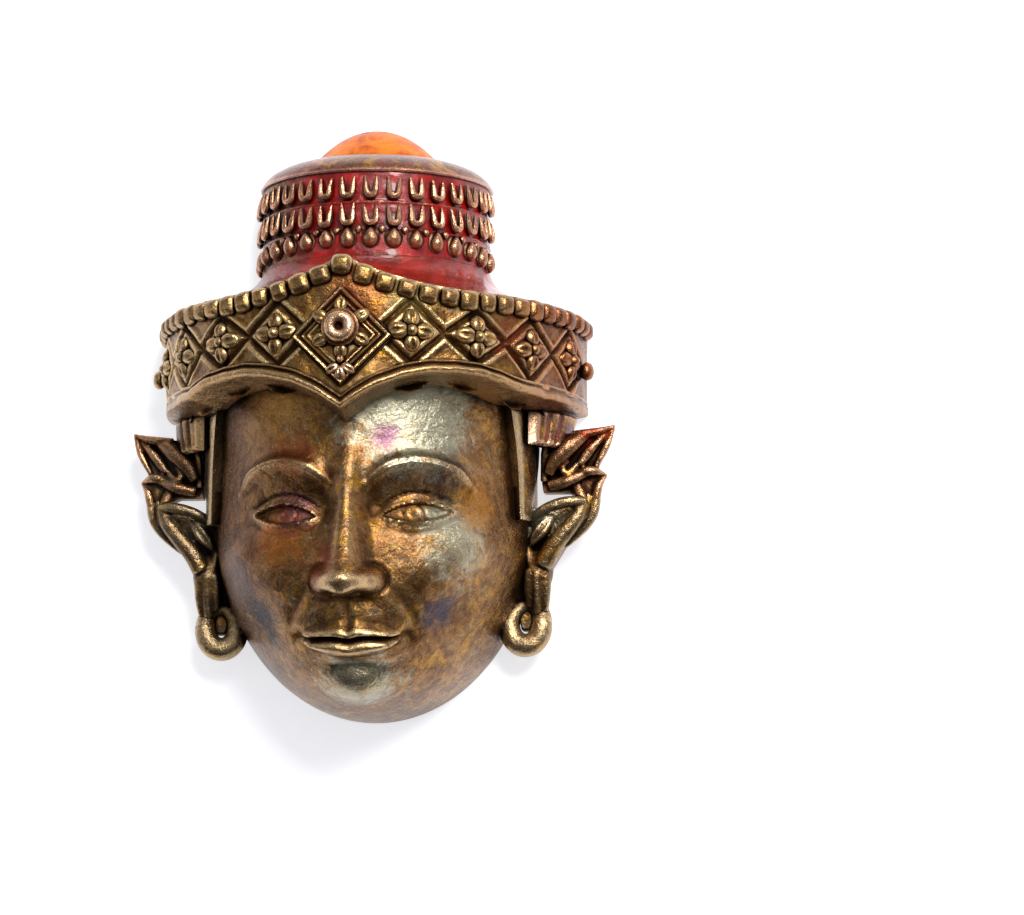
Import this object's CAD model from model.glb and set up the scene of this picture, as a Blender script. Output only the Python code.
import math

import bpy
import numpy as np
from mathutils import Matrix, Vector
from mathutils.bvhtree import BVHTree


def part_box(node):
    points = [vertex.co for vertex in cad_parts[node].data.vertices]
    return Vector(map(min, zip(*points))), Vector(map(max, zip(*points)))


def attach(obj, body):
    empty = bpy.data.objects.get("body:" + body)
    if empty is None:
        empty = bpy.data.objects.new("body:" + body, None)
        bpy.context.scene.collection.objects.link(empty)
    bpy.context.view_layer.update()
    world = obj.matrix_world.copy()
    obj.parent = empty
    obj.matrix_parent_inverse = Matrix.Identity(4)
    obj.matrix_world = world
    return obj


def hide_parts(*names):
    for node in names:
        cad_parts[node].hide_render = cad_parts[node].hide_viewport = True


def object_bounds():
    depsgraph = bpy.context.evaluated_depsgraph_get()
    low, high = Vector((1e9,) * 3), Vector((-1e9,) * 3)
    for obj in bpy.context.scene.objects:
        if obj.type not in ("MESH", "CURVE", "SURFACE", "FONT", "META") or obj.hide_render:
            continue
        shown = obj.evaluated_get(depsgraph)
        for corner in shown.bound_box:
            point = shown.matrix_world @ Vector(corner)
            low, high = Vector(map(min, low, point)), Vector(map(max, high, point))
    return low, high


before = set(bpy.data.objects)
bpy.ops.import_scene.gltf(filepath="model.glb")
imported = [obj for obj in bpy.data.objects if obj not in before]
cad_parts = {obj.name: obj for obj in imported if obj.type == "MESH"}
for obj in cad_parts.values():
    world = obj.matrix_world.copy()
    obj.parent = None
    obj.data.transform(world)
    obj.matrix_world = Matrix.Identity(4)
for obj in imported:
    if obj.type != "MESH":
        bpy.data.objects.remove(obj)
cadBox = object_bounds()
bpy.ops.object.select_all(action="DESELECT")
mm = 0.001  # pieces are modelled in millimetres and settled in metres
rng = np.random.default_rng(7)


def boxOf(node):  # a node's lowest and highest corners in millimetres
    low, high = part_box(node)
    return Vector(low) / mm, Vector(high) / mm


# camera, floor and light

studio = {
    "distance": 205.0, "turn": 7.0, "dip": 8.5, "lens": 154.5, "aim": (7.14, -2.43, 5.5),
    "floor": (0.62, 0.62, 0.66), "floorGlow": 0.7,
    "skyDark": (0.05, 0.05, 0.06, 1), "skyBright": (0.95, 0.98, 1.0, 1), "skyStrength": 0.62,
    "skySide": (0.42, 0.62, 0.66),
}
low, high = [Vector(c) / mm for c in cadBox]
middle = (low + high) / 2
turn, dip = math.radians(studio["turn"]), math.radians(studio["dip"])
back = Vector((math.sin(turn) * math.cos(dip), -math.sin(dip), math.cos(turn) * math.cos(dip)))
bpy.ops.object.camera_add()
camera = bpy.context.object
camera.name = "camera"
aim = Vector((middle.x + studio["aim"][0], middle.y + studio["aim"][1], studio["aim"][2]))
camera.location = (aim + back * studio["distance"]) * mm
right = Vector((0, 1, 0)).cross(back).normalized()
camera.rotation_euler = Matrix((right, back.cross(right), back)).transposed().to_euler()
camera.data.lens = studio["lens"]
camera.data.clip_start = 0.005
bpy.context.scene.camera = camera
bpy.context.scene.view_settings.view_transform = "Standard"

bpy.ops.mesh.primitive_plane_add(size=0.9, location=(0, 0, 0))
floor = bpy.context.object
floor.name = "floor"


def addLamp(name, size, spot, power, colour):  # an area light, all in metres, that faces the mask
    bpy.ops.object.light_add(type="AREA", location=spot)
    lamp = bpy.context.object
    lamp.name = name
    lamp.data.shape = "RECTANGLE"
    lamp.data.size, lamp.data.size_y = size
    lamp.data.energy = power
    lamp.data.color = colour
    lamp.rotation_euler = (-Vector(spot)).to_track_quat("-Z", "Y").to_euler()


addLamp("keyLamp", (0.16, 0.12), (0.13, 0.17, 0.30), 1.5, (1.0, 0.98, 0.95))
addLamp("sideLamp", (0.10, 0.22), (-0.26, 0.02, 0.14), 0.09, (0.9, 0.95, 1.0))
world = bpy.data.worlds.new("paleSurround")
bpy.context.scene.world = world
world.use_nodes = True
sky = world.node_tree
facing = sky.nodes.new("ShaderNodeVectorMath")  # brighter towards the window side, dim behind the viewer
facing.operation = "DOT_PRODUCT"
facing.inputs[1].default_value = Vector(studio["skySide"]).normalized()
sky.links.new(sky.nodes.new("ShaderNodeTexCoord").outputs["Generated"], facing.inputs[0])
fade = sky.nodes.new("ShaderNodeValToRGB")
fade.color_ramp.elements[0].position, fade.color_ramp.elements[0].color = 0.1, studio["skyDark"]
fade.color_ramp.elements[1].position, fade.color_ramp.elements[1].color = 0.85, studio["skyBright"]
sky.links.new(facing.outputs["Value"], fade.inputs[0])
sky.links.new(fade.outputs[0], sky.nodes["Background"].inputs["Color"])
sky.nodes["Background"].inputs["Strength"].default_value = studio["skyStrength"]
print("camera, floor and light are set")


# modelling helpers

def editOn(piece):
    bpy.context.view_layer.objects.active = piece
    bpy.ops.object.mode_set(mode="EDIT")


def editOff():
    bpy.ops.object.mode_set(mode="OBJECT")


def onlySelect(*pieces):
    bpy.ops.object.select_all(action="DESELECT")
    for piece in pieces:
        piece.select_set(True)
    bpy.context.view_layer.objects.active = pieces[0]


def applyPlace(piece):  # puts the object's place, turn and size into its mesh
    onlySelect(piece)
    bpy.ops.object.transform_apply(location=True, rotation=True, scale=True)


def applyModifier(piece, kind, **values):
    onlySelect(piece)
    modifier = piece.modifiers.new(kind.lower(), kind)
    for key, value in values.items():
        setattr(modifier, key, value)
    bpy.ops.object.modifier_apply(modifier=modifier.name)


def selectFaces(piece, test):  # selects the faces whose centre and normal pass the test, from edit mode
    bpy.ops.mesh.select_all(action="DESELECT")
    bpy.ops.mesh.select_mode(type="FACE")
    editOff()
    for face in piece.data.polygons:
        face.select = test(face.center, face.normal)
    editOn(piece)


def selectVerts(piece, test):
    bpy.ops.mesh.select_mode(type="VERT")
    bpy.ops.mesh.select_all(action="DESELECT")
    editOff()
    for vert in piece.data.vertices:
        vert.select = test(vert.co)
    editOn(piece)


def tidyNormals(piece, gap=0.0005):  # merges doubles, then points every face outwards
    onlySelect(piece)
    editOn(piece)
    bpy.ops.mesh.select_all(action="SELECT")
    bpy.ops.mesh.remove_doubles(threshold=gap)
    bpy.ops.mesh.normals_make_consistent(inside=False)
    editOff()


def joined(name, pieces):
    onlySelect(*pieces)
    if len(pieces) > 1:
        bpy.ops.object.join()
    whole = bpy.context.view_layer.objects.active
    whole.name = whole.data.name = name
    return whole


def copyOf(piece):  # a copy with a mesh of its own
    twin = piece.copy()
    twin.data = piece.data.copy()
    bpy.context.scene.collection.objects.link(twin)
    return twin


def spots(piece):  # vertex places as an array
    flat = np.empty(len(piece.data.vertices) * 3)
    piece.data.vertices.foreach_get("co", flat)
    return flat.reshape(-1, 3)


def moveTo(piece, places):
    piece.data.vertices.foreach_set("co", np.ascontiguousarray(places, dtype=float).ravel())
    piece.data.update()


def spun(name, profile, angle=math.tau, steps=48):  # a profile of (radius, height) turned about Z
    bpy.ops.mesh.primitive_plane_add(size=0.01)
    piece = bpy.context.object
    piece.name = name
    editOn(piece)
    bpy.ops.mesh.select_all(action="SELECT")
    bpy.ops.mesh.merge(type="CENTER")
    editOff()
    piece.data.vertices[0].co = (profile[0][0], 0, profile[0][1])
    editOn(piece)
    bpy.ops.mesh.select_all(action="SELECT")
    for (r0, z0), (r1, z1) in zip(profile, profile[1:]):
        step = (r1 - r0, 0, z1 - z0)
        bpy.ops.mesh.extrude_vertices_move(TRANSFORM_OT_translate={"value": step})
    bpy.ops.mesh.select_all(action="SELECT")
    bpy.ops.mesh.spin(steps=steps, angle=angle, center=(0, 0, 0), axis=(0, 0, 1))
    editOff()
    return piece


def ball(name, radii, place=(0, 0, 0), segments=20, rings=12):
    bpy.ops.mesh.primitive_uv_sphere_add(segments=segments, ring_count=rings, radius=1, location=place)
    piece = bpy.context.object
    piece.name = name
    piece.scale = radii
    applyPlace(piece)
    return piece


def rope(name, points, radii, sides=6, smooth=12):  # a round bar along a smooth line, thick and thin as told
    line = bpy.data.curves.new(name, "CURVE")
    line.dimensions = "3D"
    spline = line.splines.new("NURBS")
    spline.points.add(len(points) - 1)
    for point, place, radius in zip(spline.points, points, radii):
        point.co = (*place, 1)
        point.radius = radius
    spline.order_u = 3
    spline.use_endpoint_u = True
    line.resolution_u = smooth
    line.bevel_depth = 1.0
    line.bevel_resolution = sides
    line.use_fill_caps = True
    bar = bpy.data.objects.new(name, line)
    bpy.context.scene.collection.objects.link(bar)
    onlySelect(bar)
    bpy.ops.object.convert(target="MESH")
    return bpy.context.object


def cast(piece, grain, smooth=6):  # melts joined parts into one skin, as in a mould
    applyModifier(piece, "REMESH", mode="VOXEL", voxel_size=grain)
    applyModifier(piece, "SMOOTH", factor=0.5, iterations=smooth)
    return piece


def closeAt(piece, test):  # closes the flat outline of the points that pass the test
    onlySelect(piece)
    editOn(piece)
    selectVerts(piece, test)
    bpy.ops.mesh.edge_face_add()
    editOff()


def closeHalf(piece):  # closes a half-round piece below, above and behind
    tidyNormals(piece)
    low, high = piece.data.vertices[0].co.copy(), piece.data.vertices[0].co.copy()
    for vert in piece.data.vertices:
        low.y, high.y = min(low.y, vert.co.y), max(high.y, vert.co.y)
    closeAt(piece, lambda co: co.y < low.y + 0.0001)
    if sum(1 for vert in piece.data.vertices if vert.co.y > high.y - 0.0001) > 2:
        closeAt(piece, lambda co: co.y > high.y - 0.0001)
    closeAt(piece, lambda co: co.z < 0.0001)
    tidyNormals(piece)


def mirroredPiece(piece, name):  # the same piece on the mask's other side
    twin = copyOf(piece)
    twin.name = twin.data.name = name
    moveTo(twin, spots(twin) * np.array([-1.0, 1.0, 1.0]))
    onlySelect(twin)
    editOn(twin)
    bpy.ops.mesh.select_all(action="SELECT")
    bpy.ops.mesh.flip_normals()
    editOff()
    return twin


# the walls that pieces sit on

tiaraHigh = boxOf("tiara_band")[1]
drumLow, drumHigh = boxOf("crown_drum")
faceLow, faceHigh = boxOf("face_shell")
mouldLow = boxOf("brow_moulding")[0]
head = {"halfWidth": faceHigh.x, "depth": 9.4, "cheek": -4.6, "chin": faceLow.y, "top": faceHigh.y}
wall = {
    "halfWidth": tiaraHigh.x, "depth": tiaraHigh.z, "peak": tiaraHigh.y, "side": boxOf("crown_brim")[0].y + 1.2,
    "slopeEnd": 6.8, "slopeSag": 0.46, "dip": mouldLow.y, "end": mouldLow.y + 1.3, "archSag": 1.07,
    "moulding": 0.7, "bead": 0.95,
}
drum = {"radius": drumHigh.x, "foot": drumLow.y, "top": drumHigh.y, "axis": drumHigh.z - drumHigh.x}


def archHeight(x, endX, endY, midY, sag, bulge):  # height of an arc from (0, midY) to (endX, endY)
    run, rise = endX, endY - midY
    radius = (run * run / 4 + rise * rise / 4 + sag * sag) / (2 * sag)
    length = math.hypot(run, rise)
    reach = math.sqrt(radius ** 2 - (length / 2) ** 2)
    cx = run / 2 + rise / length * reach * bulge
    cy = (midY + endY) / 2 - run / length * reach * bulge
    inside = np.minimum(np.abs(x), endX)
    return cy + bulge * np.sqrt(np.maximum(radius ** 2 - (inside - cx) ** 2, 0))


def wallFoot(x):  # the scalloped lower edge of the brow moulding
    return archHeight(x, head["halfWidth"], wall["end"], wall["dip"], wall["archSag"], 1)


def wallTop(x):  # the peaked upper edge of the diadem
    return archHeight(x, wall["slopeEnd"], wall["side"], wall["peak"], wall["slopeSag"], -1)


def fieldAt(x, share):  # height of the lattice field, 0 on the moulding and 1 under the beads
    foot, top = wallFoot(x) + wall["moulding"], wallTop(x) - wall["bead"]
    return foot + share * (top - foot)


def onOval(turnDegrees, y, stand, halfWidth, depth, axisZ=0.0):  # places on an upright oval wall
    turn = np.radians(turnDegrees)
    x, z = halfWidth * np.sin(turn), depth * np.cos(turn)
    nx, nz = x / halfWidth ** 2, z / depth ** 2
    size = np.hypot(nx, nz)
    return np.stack([x + nx / size * stand, y + 0 * x, z + nz / size * stand + axisZ], axis=-1)


def ovalTurns(halfWidth, depth):  # arc length in millimetres from the front, and the turn there
    turns = np.linspace(0, 90, 721)
    points = onOval(turns, 0.0, 0.0, halfWidth, depth)
    runs = np.concatenate([[0], np.cumsum(np.linalg.norm(np.diff(points, axis=0), axis=1))])
    return runs, turns


wallRuns, wallTurns = ovalTurns(wall["halfWidth"], wall["depth"])


def turnAt(run):  # degrees round the diadem for a distance along it
    return np.sign(run) * np.interp(np.abs(run), wallRuns, wallTurns)


def seat(piece, place, outward):  # moves a piece made facing +Z to a place on a wall
    outward = Vector(outward).normalized()
    side = Vector((0, 1, 0)).cross(outward).normalized()
    frameMatrix = Matrix((side, outward.cross(side), outward)).transposed().to_4x4()
    piece.matrix_world = Matrix.Translation(Vector(place)) @ frameMatrix @ piece.matrix_world
    applyPlace(piece)
    return piece


def seatOnWall(piece, turnDegrees, y, stand=0.0):
    place = onOval(turnDegrees, y, stand, wall["halfWidth"], wall["depth"])
    outward = onOval(turnDegrees, y, 1.0, wall["halfWidth"], wall["depth"]) - onOval(
        turnDegrees, y, 0.0, wall["halfWidth"], wall["depth"])
    return seat(piece, place, outward)


def seatOnDrum(piece, turnDegrees, y, stand=0.0):
    turn = math.radians(turnDegrees)
    outward = Vector((math.sin(turn), 0, math.cos(turn)))
    return seat(piece, Vector((0, y, drum["axis"])) + outward * (drum["radius"] + stand), outward)


# the diadem

band = {
    "columns": 440, "rows": 52, "cell": 18.0, "cells": 4, "groove": 0.17, "grooveDepth": 0.2,
    "lip": 0.3, "lipWidth": 0.12, "lipHeight": 0.07, "lift": 0.6, "ripple": 0.03,
    "thick": 1.5,
}


def latticeGap(runs, heights):  # millimetres from the nearest engraved line
    gap = np.full(runs.shape, 9.0)
    for side in (1, -1):
        for cell in range(band["cells"]):
            left, right = (cell + 0.5) * band["cell"], (cell + 1.5) * band["cell"]
            mid = (left + right) / 2
            for a, b in (((left, 0.5), (mid, 1.0)), ((mid, 1.0), (right, 0.5)),
                         ((left, 0.5), (mid, 0.0)), ((mid, 0.0), (right, 0.5))):
                ends = []
                for degrees, share in (a, b):
                    x = wall["halfWidth"] * math.sin(math.radians(degrees * side))
                    run = side * np.interp(degrees, wallTurns, wallRuns)
                    ends.append(np.array([run, float(fieldAt(x, share))]))
                along = ends[1] - ends[0]
                length = np.linalg.norm(along)
                dx, dy = runs - ends[0][0], heights - ends[0][1]
                t = np.clip((dx * along[0] + dy * along[1]) / length ** 2, 0, 1)
                gap = np.minimum(gap, np.hypot(dx - t * along[0], dy - t * along[1]))
    return gap


bpy.ops.mesh.primitive_grid_add(x_subdivisions=band["columns"], y_subdivisions=band["rows"], size=2)
tiaraBand = bpy.context.object
flat = spots(tiaraBand)
runs = flat[:, 0] * wallRuns[-1]
turns = turnAt(runs)
xs = wall["halfWidth"] * np.sin(np.radians(turns))
share = (flat[:, 1] + 1) / 2
bandFoot = wallFoot(xs) + wall["moulding"] * band["lift"]
heights = bandFoot + share * (wallTop(xs) - wallFoot(xs) - wall["moulding"] * band["lift"])
gap = latticeGap(runs, heights)
relief = -band["grooveDepth"] * np.clip(1 - gap / band["groove"], 0, 1) ** 0.8
relief += band["lipHeight"] * np.exp(-((gap - band["lip"]) / band["lipWidth"]) ** 2)
relief += band["ripple"] * np.sin(runs * 2.9 + 1.3) * np.sin(heights * 3.7 + runs)  # unevenness of the casting
moveTo(tiaraBand, onOval(turns, heights, relief, wall["halfWidth"], wall["depth"]))
applyModifier(tiaraBand, "SOLIDIFY", thickness=band["thick"], offset=-1)
tiaraBand = joined("tiaraBand", [tiaraBand])
tidyNormals(tiaraBand)

beads = {"pitch": 1.0, "gap": 0.0, "stand": 0.46, "wobble": 0.09}


def pillowBead(name, width, height, stand):  # a squarish bead, dented a little in the middle
    bpy.ops.mesh.primitive_cube_add(size=1, location=(0, 0, 0))
    bead = bpy.context.object
    bead.name = name
    bead.scale = (width, height, stand * 2)
    applyPlace(bead)
    editOn(bead)
    bpy.ops.mesh.select_all(action="SELECT")
    bpy.ops.mesh.bevel(offset=min(width, height) * 0.36, segments=3, profile=0.55)
    selectFaces(bead, lambda centre, normal: normal.z > 0.9)
    bpy.ops.mesh.inset(thickness=min(width, height) * 0.08)
    bpy.ops.transform.translate(value=(0, 0, stand * 0.1))
    editOff()
    applyModifier(bead, "SUBSURF", levels=1, render_levels=1)
    return bead


beadList = []
run, model = 0.0, pillowBead("bead", beads["pitch"] - beads["gap"], wall["bead"], beads["stand"])
while turnAt(run) < 88.0:
    for side in ((1, -1) if run else (1,)):
        degrees = float(turnAt(run)) * side
        x = wall["halfWidth"] * math.sin(math.radians(degrees))
        bead = copyOf(model)
        size = 1 + rng.uniform(-1, 1, 3) * beads["wobble"]
        slope = math.degrees(math.atan2(float(wallTop(abs(x) + 0.2) - wallTop(abs(x) - 0.2)), 0.4)) * side
        bead.scale = size
        bead.rotation_euler = (0, 0, math.radians(slope * 0.8 + rng.uniform(-6, 6)))
        applyPlace(bead)
        seatOnWall(bead, degrees, float(wallTop(x)) - wall["bead"] / 2, -0.08)
        beadList.append(bead)
    run += beads["pitch"]
bpy.data.objects.remove(model)
tiaraBeads = joined("tiaraBeads", beadList)

rosette = {"radius": 1.1, "petalLong": 0.56, "petalWide": 0.42, "petalHigh": 0.42}


def leafPetal(name, long, wide, high):  # a fat pointed petal along +X with a crease down its middle
    petal = ball(name, (long, wide, high), segments=16, rings=10)
    selectVertsNow(petal, lambda co: co.x > long * 0.9, (long * 0.12, 0, -high * 0.1))
    places = spots(petal)
    crease = np.exp(-(places[:, 1] / (wide * 0.25)) ** 2) * np.clip(places[:, 2] / high, 0, 1)
    places[:, 2] -= crease * high * 0.35 * np.clip(0.7 + places[:, 0] / long, 0, 1)
    moveTo(petal, places)
    applyModifier(petal, "SUBSURF", levels=1, render_levels=1)
    return petal


def selectVertsNow(piece, test, shift):  # moves the chosen points by a shift
    onlySelect(piece)
    editOn(piece)
    selectVerts(piece, test)
    bpy.ops.transform.translate(value=shift)
    editOff()


petalModel = leafPetal("petal", rosette["petalLong"], rosette["petalWide"], rosette["petalHigh"])
studModel = spun("stud", [(0.0, 0.52), (0.1, 0.5), (0.2, 0.42), (0.28, 0.28), (0.33, 0.1), (0.36, -0.1),
                          (0.0, -0.1)], steps=20)
tidyNormals(studModel)
petalList, studList = [], []


def turnedPetal(scale, reach, degrees):  # a petal that stands out from a flower's middle
    petal = copyOf(petalModel)
    petal.scale = scale
    petal.location = (reach, 0, 0)
    applyPlace(petal)
    petal.rotation_euler = (0, 0, math.radians(degrees))
    applyPlace(petal)
    return petal


for side in (1, -1):
    for cell in range(band["cells"]):
        degrees = (cell + 1) * band["cell"] * side
        x = wall["halfWidth"] * math.sin(math.radians(degrees))
        y = float(fieldAt(x, 0.5))
        for i in range(4):
            grow = float(1 + rng.uniform(-0.06, 0.06))
            petal = turnedPetal((grow if i % 2 == 0 else 0.86 * grow, grow, grow),
                                rosette["radius"] - rosette["petalLong"], 90 * i + rng.uniform(-5, 5))
            petalList.append(seatOnWall(petal, degrees, y, -0.04))
        stud = copyOf(studModel)
        stud.scale = (1, 1, float(rng.uniform(0.85, 1.1)))
        applyPlace(stud)
        studList.append(seatOnWall(stud, degrees, y))
bpy.data.objects.remove(studModel)
rosettePetals = joined("rosettePetals", petalList)
rosetteStuds = joined("rosetteStuds", studList)

crest = {"halfWidth": 2.3, "gapAbove": 0.5, "stand": 0.4, "boss": 0.85}
crestTop = wall["peak"] - wall["bead"] - crest["gapAbove"]
crestFoot = wall["dip"] + wall["moulding"] * 1.6
crestMid = (crestTop + crestFoot) / 2
bpy.ops.mesh.primitive_grid_add(x_subdivisions=72, y_subdivisions=72, size=2)
crestPlate = bpy.context.object
flat = spots(crestPlate)
across, up = (flat[:, 0] - flat[:, 1]) / 2, (flat[:, 0] + flat[:, 1]) / 2
rim = 1 - np.maximum(np.abs(flat[:, 0]), np.abs(flat[:, 1]))  # 0 on the plate's edge and 1 in its middle
stand = crest["stand"] * (0.35 + 0.65 * np.clip(rim / 0.05, 0, 1))
stand -= 0.2 * np.exp(-((rim - 0.17) / 0.045) ** 2) + 0.14 * np.exp(-((rim - 0.3) / 0.035) ** 2)
stand -= 0.16 * np.clip((rim - 0.33) / 0.1, 0, 1)
crestRuns = across * crest["halfWidth"]
crestYs = crestMid + up * (crestTop - crestFoot) / 2
moveTo(crestPlate, onOval(turnAt(crestRuns), crestYs, stand, wall["halfWidth"], wall["depth"]))
applyModifier(crestPlate, "SOLIDIFY", thickness=0.34, offset=-1)
crestPlate = joined("crestPlate", [crestPlate])
tidyNormals(crestPlate)

bossY = crestMid + crest["boss"] * 0.4
crestFlower = joined("crestFlower", [
    seatOnWall(turnedPetal((0.86, 0.86, 0.8), crest["boss"] * 1.2, 60 * i + 30), 0.0, bossY, crest["stand"] - 0.2)
    for i in range(6)])
crestBoss = spun("crestBoss", [
    (0.0, -0.25), (0.88, -0.25), (0.9, 0.0), (0.86, 0.12), (0.76, 0.18), (0.74, 0.28), (0.7, 0.46), (0.6, 0.58),
    (0.44, 0.62), (0.28, 0.57), (0.17, 0.46), (0.13, 0.3), (0.0, 0.26)], steps=40)
tidyNormals(crestBoss)
seatOnWall(crestBoss, 0.0, bossY, crest["stand"])
crestPendant = joined("crestPendant", [
    seatOnWall(turnedPetal((0.72 * size, 0.72 * size, 0.8), 0.42 * size, degrees),
               0.0, crestFoot + crest["boss"] * 1.15, crest["stand"] - 0.14)
    for degrees, size in ((-150, 0.9), (-90, 1.0), (-30, 0.9), (90, 0.6))])
bpy.data.objects.remove(petalModel)

studRows = []
for side in (1, -1):
    knob = spun("knob", [(0.0, -0.4), (0.66, -0.4), (0.6, -0.05), (0.44, 0.1), (0.32, 0.2), (0.34, 0.3), (0.43, 0.42),
                         (0.44, 0.55), (0.36, 0.7), (0.2, 0.78), (0.0, 0.8)], steps=24)
    tidyNormals(knob)
    x = wall["halfWidth"] * math.sin(math.radians(79.5)) * side
    studRows.append(seatOnWall(knob, 79.5 * side, float(fieldAt(x, 0.4)), -0.1))
sideStuds = joined("sideStuds", studRows)

moulding = {  # the roll's section: millimetres above its foot, and out of the wall
    "section": [(-0.45, -2.1), (-0.36, -1.4), (-0.14, -0.5), (-0.02, 0.1), (0.06, 0.38), (0.24, 0.5), (0.42, 0.44),
                (0.53, 0.28), (0.57, 0.12), (0.63, 0.1), (0.68, 0.2), (0.76, 0.25), (0.84, 0.2), (0.87, 0.02),
                (0.87, -2.0), (-0.45, -2.1)],
    "columns": 360,
}
rows = len(moulding["section"])
bpy.ops.mesh.primitive_grid_add(x_subdivisions=moulding["columns"], y_subdivisions=rows - 1, size=2)
browMoulding = bpy.context.object
flat = spots(browMoulding)
index = np.rint((flat[:, 1] + 1) / 2 * (rows - 1)).astype(int)
section = np.array(moulding["section"])[index]
turns = turnAt(flat[:, 0] * wallRuns[-1])
xs = wall["halfWidth"] * np.sin(np.radians(turns))
lump = 0.02 * np.sin(flat[:, 0] * 61) * np.sin(flat[:, 0] * 23 + 2) * (1 - flat[:, 0] ** 8)
flatter = 1 - 0.86 * np.clip((np.abs(turns) - 42) / 18, 0, 1)
stand = np.where(section[:, 1] > 0, section[:, 1] * flatter, section[:, 1])
moveTo(browMoulding, onOval(turns, wallFoot(xs) + section[:, 0] * wall["moulding"] / 0.87 + lump, stand + lump,
                            wall["halfWidth"], wall["depth"]))
browMoulding = joined("browMoulding", [browMoulding])
tidyNormals(browMoulding)
closeAt(browMoulding, lambda co: co.z < 0.03 and co.x > 0)
closeAt(browMoulding, lambda co: co.z < 0.03 and co.x < 0)
applyModifier(browMoulding, "SUBSURF", levels=1, render_levels=1)
tidyNormals(browMoulding)
print("the diadem is modelled")


# the crown

brim = {"columns": 180, "rows": 26, "setBack": 0.25, "sweep": ((0.0, 0.0), (0.28, 0.52), (0.62, 0.84), (1.0, 1.0))}
bpy.ops.mesh.primitive_grid_add(x_subdivisions=brim["columns"], y_subdivisions=brim["rows"], size=2)
crownBrim = bpy.context.object
flat = spots(crownBrim)
rise = (flat[:, 1] + 1) / 2
ups, ins = np.array(brim["sweep"]).T
inward = np.interp(rise, np.linspace(0, 1, 101), np.interp(
    np.linspace(0, 1, 101), ups, ins)) * 0.25 + (1 - (1 - rise) ** 2.1) * 0.75
wide = wall["halfWidth"] - brim["setBack"] - (wall["halfWidth"] - brim["setBack"] - drum["radius"]) * inward
deep = wall["depth"] - brim["setBack"] - (wall["depth"] - brim["setBack"] - drum["radius"]) * inward
axisZ = drum["axis"] * inward
limit = 90 + np.degrees(np.arcsin(np.clip(axisZ / deep, 0, 1)))
turns = flat[:, 0] * limit
turnRad = np.radians(turns)
ripple = 0.05 * np.sin(turns * 0.11 + rise * 4) * np.sin(rise * math.pi)  # pooled lacquer
brimY = np.where(rise < 0.001, boxOf("crown_brim")[0].y, wall["side"] + rise * (drum["foot"] - wall["side"]))
places = np.stack([(wide + ripple) * np.sin(turnRad), brimY,
                   np.maximum((deep + ripple) * np.cos(turnRad) + axisZ, 0)], axis=-1)
moveTo(crownBrim, places)
crownBrim = joined("crownBrim", [crownBrim])
closeHalf(crownBrim)


def halfTurned(name, profile, steps=120, lumps=0.0):  # a profile of (radius, y) turned half round the drum's axis
    lineR, lineY = np.array(profile, dtype=float).T
    bpy.ops.mesh.primitive_grid_add(x_subdivisions=steps, y_subdivisions=len(profile) - 1, size=2)
    piece = bpy.context.object
    flat = spots(piece)
    index = np.rint((flat[:, 1] + 1) / 2 * (len(profile) - 1)).astype(int)
    radius, y = lineR[index], lineY[index]
    limit = np.pi / 2 + np.arcsin(np.clip(drum["axis"] / np.maximum(radius, 0.0001), 0, 1))
    turn = flat[:, 0] * limit
    radius = radius + lumps * np.sin(turn * 9 + y * 3) * np.sin(y * 5)
    moveTo(piece, np.stack([radius * np.sin(turn), y, np.maximum(radius * np.cos(turn) + drum["axis"], 0)], axis=-1))
    piece = joined(name, [piece])
    closeHalf(piece)
    return piece


leaves = {"count": 16, "width": 0.74, "height": 1.05, "margin": 0.3, "pitch": 1.3, "dropStep": 1.05,
          "dropRise": 0.5}
rowOne = drum["top"] - leaves["height"] / 2 - leaves["margin"]
rowTwo = rowOne - leaves["pitch"]
dropFoot = rowTwo - leaves["dropStep"] - leaves["dropRise"]
foot, top, r = drum["foot"], drum["top"], drum["radius"]
ledges = [rowOne - leaves["pitch"] / 2, rowTwo - leaves["pitch"] / 2]
drumLine = []
for y in np.linspace(foot, top, 90):
    swell = sum(0.045 * math.exp(-((y - ledge) / 0.07) ** 2) for ledge in ledges)
    drumLine.append((r - 0.04 + swell, y))
crownDrum = halfTurned("crownDrum", drumLine, steps=260, lumps=0.015)

collarHigh, domeHigh = boxOf("crown_collar")[1], boxOf("crown_dome")[1]
domeRadius, seam = domeHigh.x, collarHigh.y
shoulderRadius = r + 0.14
collarLine = [(r - 0.1, top - 0.03), (shoulderRadius - 0.06, top - 0.02), (shoulderRadius, top + 0.05)]
bendRadius, bendY = domeRadius + 0.86 * (shoulderRadius - domeRadius), top + 0.05 + 0.74 * (seam - top)
for t in np.linspace(0, 1, 26)[1:]:  # one soft shoulder from the drum's edge to the dome's
    collarLine.append(((1 - t) ** 2 * shoulderRadius + 2 * t * (1 - t) * bendRadius + t * t * domeRadius,
                       (1 - t) ** 2 * (top + 0.05) + 2 * t * (1 - t) * bendY + t * t * seam))
collarLine.append((domeRadius - 0.12, seam + 0.01))
crownCollar = halfTurned("crownCollar", collarLine, steps=160, lumps=0.01)
rise = domeHigh.y - seam
domeLine = [(domeRadius - 0.16, seam - 0.2), (domeRadius - 0.05, seam - 0.02), (domeRadius * 0.99, seam + 0.03)]
for t in np.linspace(0, 1, 30)[1:]:  # a round cap
    domeLine.append((domeRadius * (1 - t), seam + 0.03 + (rise - 0.03) * (1 - (1 - t) ** 2.1)))
crownDome = halfTurned("crownDome", domeLine, steps=120, lumps=0.0)


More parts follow.
